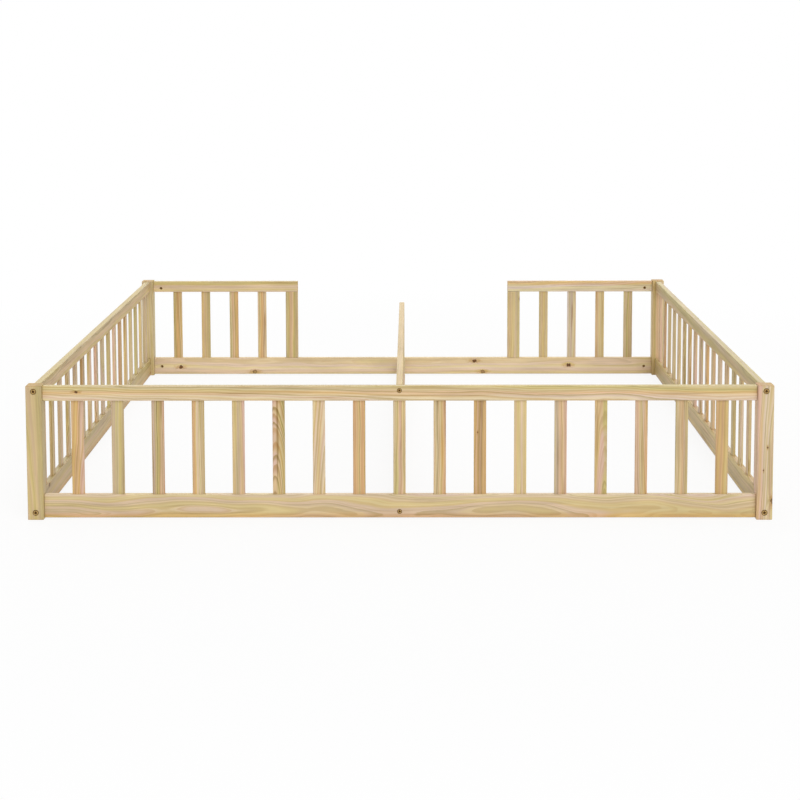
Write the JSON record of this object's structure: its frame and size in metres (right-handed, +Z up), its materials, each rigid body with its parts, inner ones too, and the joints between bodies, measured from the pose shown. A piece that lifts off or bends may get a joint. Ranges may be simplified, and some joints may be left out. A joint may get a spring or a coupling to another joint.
{
  "type": "double floor bed frame",
  "caption": "Low double floor bed frame in solid pine with a slatted guard fence, short back fences beside a wide way in, and a slatted divider between two mattress bays.",
  "frame": {"origin": "on the floor under the middle of the bed, at the centre of the bounding box's bottom face", "axes": "+X across both mattress bays towards the bed's right as seen from the front, +Y from the full front fence towards the back with the way in, +Z up"},
  "size_m": [2.06, 1.99, 0.376],
  "materials": {
    "pine_posts": "planed natural pine under a thin clear satin lacquer, eased edges",
    "pine_rails": "planed natural pine under a thin clear satin lacquer, eased edges",
    "pine_slats": "planed natural pine under a thin clear satin lacquer, softened edges",
    "bronzed_bolts": "steel with a bronze coloured plating, turned, satin",
    "barrel_nuts": "steel with a dull bronze coloured plating"
  },
  "bodies": {
    "root": {"post_front_left": "pine_posts", "post_front_right": "pine_posts", "post_back_left": "pine_posts", "post_back_right": "pine_posts", "front_top_rail": "pine_rails", "front_lower_rail": "pine_rails", "front_slat_01": "pine_slats", "front_slat_02": "pine_slats", "front_slat_03": "pine_slats", "front_slat_04": "pine_slats", "front_slat_05": "pine_slats", "front_slat_06": "pine_slats", "front_slat_07": "pine_slats", "front_slat_08": "pine_slats", "front_slat_09": "pine_slats", "front_slat_10": "pine_slats", "front_slat_11": "pine_slats", "front_slat_12": "pine_slats", "front_slat_13": "pine_slats", "front_slat_14": "pine_slats", "front_slat_15": "pine_slats", "front_slat_16": "pine_slats", "front_slat_17": "pine_slats", "left_top_rail_with_slats": "pine_rails", "left_lower_rail": "pine_rails", "right_top_rail_with_slats": "pine_rails", "right_lower_rail": "pine_rails", "back_lower_rail": "pine_rails", "back_left_top_rail_with_slats": "pine_rails", "back_right_top_rail_with_slats": "pine_rails", "divider_top_rail_with_slats": "pine_rails", "divider_lower_rail": "pine_rails", "back_left_end_stile": "pine_slats", "back_right_end_stile": "pine_slats", "divider_end_stile": "pine_slats", "bolt_front_left_top": "bronzed_bolts", "bolt_front_left_low": "bronzed_bolts", "bolt_front_right_top": "bronzed_bolts", "bolt_front_right_low": "bronzed_bolts", "bolt_front_middle_top": "bronzed_bolts", "bolt_front_middle_low": "bronzed_bolts", "bolt_back_left_top": "bronzed_bolts", "bolt_back_left_low": "bronzed_bolts", "bolt_back_right_top": "bronzed_bolts", "bolt_back_right_low": "bronzed_bolts", "bolt_back_middle_low": "bronzed_bolts", "nut_front_left_top": "barrel_nuts", "nut_front_left_low": "barrel_nuts", "nut_front_right_top": "barrel_nuts", "nut_front_right_low": "barrel_nuts", "nut_front_middle_top": "barrel_nuts", "nut_front_middle_low": "barrel_nuts", "nut_back_left_top": "barrel_nuts", "nut_back_left_low": "barrel_nuts", "nut_back_right_top": "barrel_nuts", "nut_back_right_low": "barrel_nuts", "nut_back_middle_low": "barrel_nuts"}
  },
  "joints": []
}
